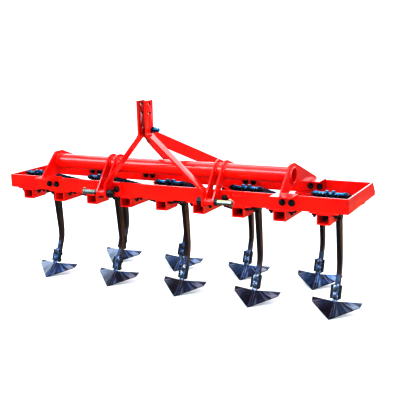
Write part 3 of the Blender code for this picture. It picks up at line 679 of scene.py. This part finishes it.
for name, rows, across_flats, high, washer_high, stud_high, corner_count in (
        ("end_screws", end_screws, 0.006, 0.0015, 0.0005, 0.0003, 16.0),
        ("frame_bolts", frame_bolts, 0.022, 0.010, 0.0025, 0.0005, 6.0),
        ("plate_nuts", plate_nuts, 0.023, 0.012, 0.0025, 0.008, 6.0),
        ("holder_nuts", holder_nuts, 0.017, 0.007, 0.002, 0.004, 6.0),
        ("tongue_bolts", tongue_bolts, 0.016, 0.003, 0.0006, 0.0002, 18.0),
        ("tongue_nuts", tongue_nuts, 0.019, 0.009, 0.002, 0.005, 6.0)):
    hex_bolts.make(name, points_with_aim(name.replace("_", " "), rows), black_oxide, "black_bolt",
                   Width=across_flats, Height=high, Washer=washer_high, Stud=stud_high, Sides=corner_count)

# Tube clamps: black steel blocks bolted up under the seats of three tubes, one on each side,
# chamfered, with a lower face that slants up towards the outer end.
CLAMP_REACH = (0.0325, 0.084)   # x of a clamp's ends, from the tube's middle
CLAMP_DEEP = (0.017, 0.080)     # y of its front and rear faces
CLAMP_TOP = -0.0750
CLAMP_FEET = (-0.0960, -0.0850)             # z of the lower face at the two ends
CHAMFER = 0.002
BLOCK = [(0, 1, 5, 4), (1, 2, 6, 5), (2, 3, 7, 6), (3, 0, 4, 7), (3, 2, 1, 0), (4, 5, 6, 7)]

corners, quads = [], []
for i in CLAMPED:
    for side in (-1, 1):
        first = len(corners)
        for reach, low in zip(CLAMP_REACH, CLAMP_FEET):
            corners += [spot(tine_place(i)[0] + side * reach, CLAMP_DEEP[far], high)
                        for far, high in ((0, low), (1, low), (1, CLAMP_TOP), (0, CLAMP_TOP))]
        quads += [tuple(first + k for k in (face[::-1] if side < 0 else face)) for face in BLOCK]
clamps = mesh_piece("tube_clamps_source", corners, quads, black_oxide)
chamfer = clamps.modifiers.new("chamfer", "BEVEL")
chamfer.width, chamfer.segments = CHAMFER, 1
clamps = baked(clamps, "tube_clamps")
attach(clamps, "root")

# Weld beads: rippled fillets under the enamel, round the cross pipe at every plate, along the
# feet of the brackets and cheeks, beside the tubes' seats, and in the corners of the frame.
PIPE_UNDER, PIPE_TOP = ends("cross_pipe", "z")
PIPE_MIDDLE = (sum(ends("cross_pipe", "y")) / 2, (PIPE_UNDER + PIPE_TOP) / 2)           # y and z
PIPE_RADIUS = (PIPE_TOP - PIPE_UNDER) / 2
EYE = (sum(ends("link_pin_right", "y")) / 2, sum(ends("link_pin_right", "z")) / 2)      # y and z
CHEEK_FACES = (0.0165, 0.0255)  # the faces of a cheek, from the middle of its hitch point
BRACKET_FACE = 0.0055           # half a bracket plate, and a little
CHEEK_WELD_OUT = 0.0012         # how far a weld's middle lies outside the face of a cheek
PIPE_WELD_RADIUS = PIPE_RADIUS + 0.0008
EYE_WELD = (CHEEK_FACES[0] - 0.0008, 0.0168)        # x and radius
FOOT_WELD_Z = FOOT_WALL + 0.0004
REAR_FOOT = (0.316, 0.402)      # y of the plate's weld on a rear foot
FRONT_FOOT = (-0.079, 0.012)
HITCH_FOOT_FACE = -0.0068       # y
HITCH_FOOT_WELD = (-0.060, -0.010)                  # z
CORNER_X = PLATE_IN - 0.0005
CORNER_YS = (BEAM_WALL + 0.0005, FRAME_DEPTH - BEAM_WALL - 0.0005)
CORNER_WELD = (-0.060, -0.003)  # z
STAY_FEET = (0.1493, 0.1587)    # x of a rear stay's faces
STAY_WELD = (FRAME_DEPTH - BEAM_WALL - 0.002, FRAME_DEPTH)
STAY_WELD_Z = 0.0012
TUBE_FACE = 0.0315              # just outside the side of a tube
SEAT_WELD = (0.006, 0.076)
REAR_SEAT_WELD = (FRAME_DEPTH - 0.024, FRAME_DEPTH + 0.046)
SEAT_WELD_Z = -0.0757

BEAD_SIZES = ("Radius", "Ripple", "Pitch", "Wander")
beads = Maker("rods along lines", BEAD_SIZES)
bead_radius, ripple, pitch, wander = (beads.given[label] for label in BEAD_SIZES)
path = beads.node("GeometryNodeMeshToCurve", None, {"Mesh": beads.given["Geometry"]})
path = beads.node("GeometryNodeResampleCurve", {"mode": "LENGTH"}, {"Curve": path, "Length": pitch * 0.25})
travel = beads.node("GeometryNodeSplineParameter", out="Length")
wave = travel / pitch * math.tau
wave = wave.maths("SINE", wave, 0.0)
unevenness = beads.noise(beads.node("GeometryNodeInputPosition"), 70.0) - 0.5
thick = bead_radius * (wave * ripple + unevenness * wander + 1.0)
profile = beads.node("GeometryNodeCurvePrimitiveCircle", None, {"Resolution": 7, "Radius": 1.0})
beads.finish(beads.node("GeometryNodeCurveToMesh", None, {
    "Curve": path, "Profile Curve": profile, "Scale": thick, "Fill Caps": True}))


def lines(name, runs):
    """A mesh of polylines, each a list of places; one that ends where it starts is closed."""
    verts, edges = [], []
    for run in runs:
        start, closed = len(verts), run[0] == run[-1]
        points = run[:-1] if closed else run
        verts += [tuple(spot(*place)) for place in points]
        edges += [(start + k, start + k + 1) for k in range(len(points) - 1)]
        if closed:
            edges.append((start + len(points) - 1, start))
    mesh = bpy.data.meshes.new(name)
    mesh.from_pydata(verts, edges, [])
    return mesh


def hoop(x, middle, radius, count=32):
    """A closed circle round the line that runs across the machine through middle."""
    turns = [math.tau * k / count for k in range(count)]
    ring = [(x, middle[0] + radius * math.cos(t), middle[1] + radius * math.sin(t)) for t in turns]
    return ring + ring[:1]


welds = []
for side in (-1, 1):
    for face in (-BRACKET_FACE, BRACKET_FACE):
        x = side * (BRACKET_X + face)
        welds.append(hoop(x, PIPE_MIDDLE, PIPE_WELD_RADIUS))
        welds.append([(x, y, FOOT_WELD_Z) for y in REAR_FOOT])
        welds.append([(x, y, FOOT_WELD_Z) for y in FRONT_FOOT])
    for wall in (-1, 1):
        for face, out in zip(CHEEK_FACES, (-CHEEK_WELD_OUT, CHEEK_WELD_OUT)):
            x = side * HITCH_X + wall * (face + out)
            welds.append(hoop(x, PIPE_MIDDLE, PIPE_WELD_RADIUS))
            welds.append([(x, y, FOOT_WELD_Z) for y in REAR_FOOT])
        outer = side * HITCH_X + wall * (CHEEK_FACES[1] + CHEEK_WELD_OUT)
        welds.append([(outer, HITCH_FOOT_FACE, z) for z in HITCH_FOOT_WELD])
        welds.append(hoop(side * HITCH_X + wall * EYE_WELD[0], EYE, EYE_WELD[1], 20))
    for y in CORNER_YS:
        welds.append([(side * CORNER_X, y, z) for z in CORNER_WELD])
    for x in STAY_FEET:
        welds.append([(side * x, y, STAY_WELD_Z) for y in STAY_WELD])
for i in range(TINE_COUNT):
    for side in (-1, 1):
        edge = tine_place(i)[0] + side * TUBE_FACE
        welds.append([(edge, y, SEAT_WELD_Z) for y in SEAT_WELD])
        if i % 2:
            welds.append([(edge, y, SEAT_WELD_Z) for y in REAR_SEAT_WELD])
beads.make("weld_beads", lines("weld lines", welds), red_enamel, "red_paint",
           Radius=0.0030, Ripple=0.10, Pitch=0.0040, Wander=0.7)

# Linch pins: a drop-nosed pin down through the outer end of each link pin, with a spring ring
# from its head round the end of the link pin to its foot.
LINCH_X = 0.4075
LINCH_HALF = 0.0165             # height of its head above the link pin's middle
HEAD_ENDS = (-0.004, 0.007)     # x of the head's ends from the pin's middle, outwards
RING_RADIUS = 0.0140
RING_OUT = 0.006                # the ring's middle lies this much further out
RING_TURN, RING_STEPS = math.radians(112), 28       # from its outermost point each way

shanks, heads, rings = [], [], []
for side in (-1, 1):
    x = side * LINCH_X
    shanks.append([(x, EYE[0], EYE[1] - LINCH_HALF), (x, EYE[0], EYE[1] + LINCH_HALF)])
    heads.append([(x + side * end, EYE[0], EYE[1] + LINCH_HALF) for end in HEAD_ENDS])
    turns = [RING_TURN * (1 - 2 * k / RING_STEPS) for k in range(RING_STEPS + 1)]
    ring = [(RING_OUT + RING_RADIUS * math.cos(t), RING_RADIUS * math.sin(t)) for t in turns]
    rings.append([(x + side * out, EYE[0], EYE[1] + up) for out, up in ring])
beads.make("linch_pins", lines("linch pin lines", shanks), zinc_plate, "zinc",
           Radius=0.0040, Ripple=0.0, Pitch=0.0200, Wander=0.0)
beads.make("linch_pin_heads", lines("linch pin head lines", heads), zinc_plate, "zinc",
           Radius=0.0046, Ripple=0.0, Pitch=0.0120, Wander=0.0)
beads.make("linch_pin_rings", lines("linch ring lines", rings), zinc_plate, "zinc",
           Radius=0.0017, Ripple=0.0, Pitch=0.0100, Wander=0.0)
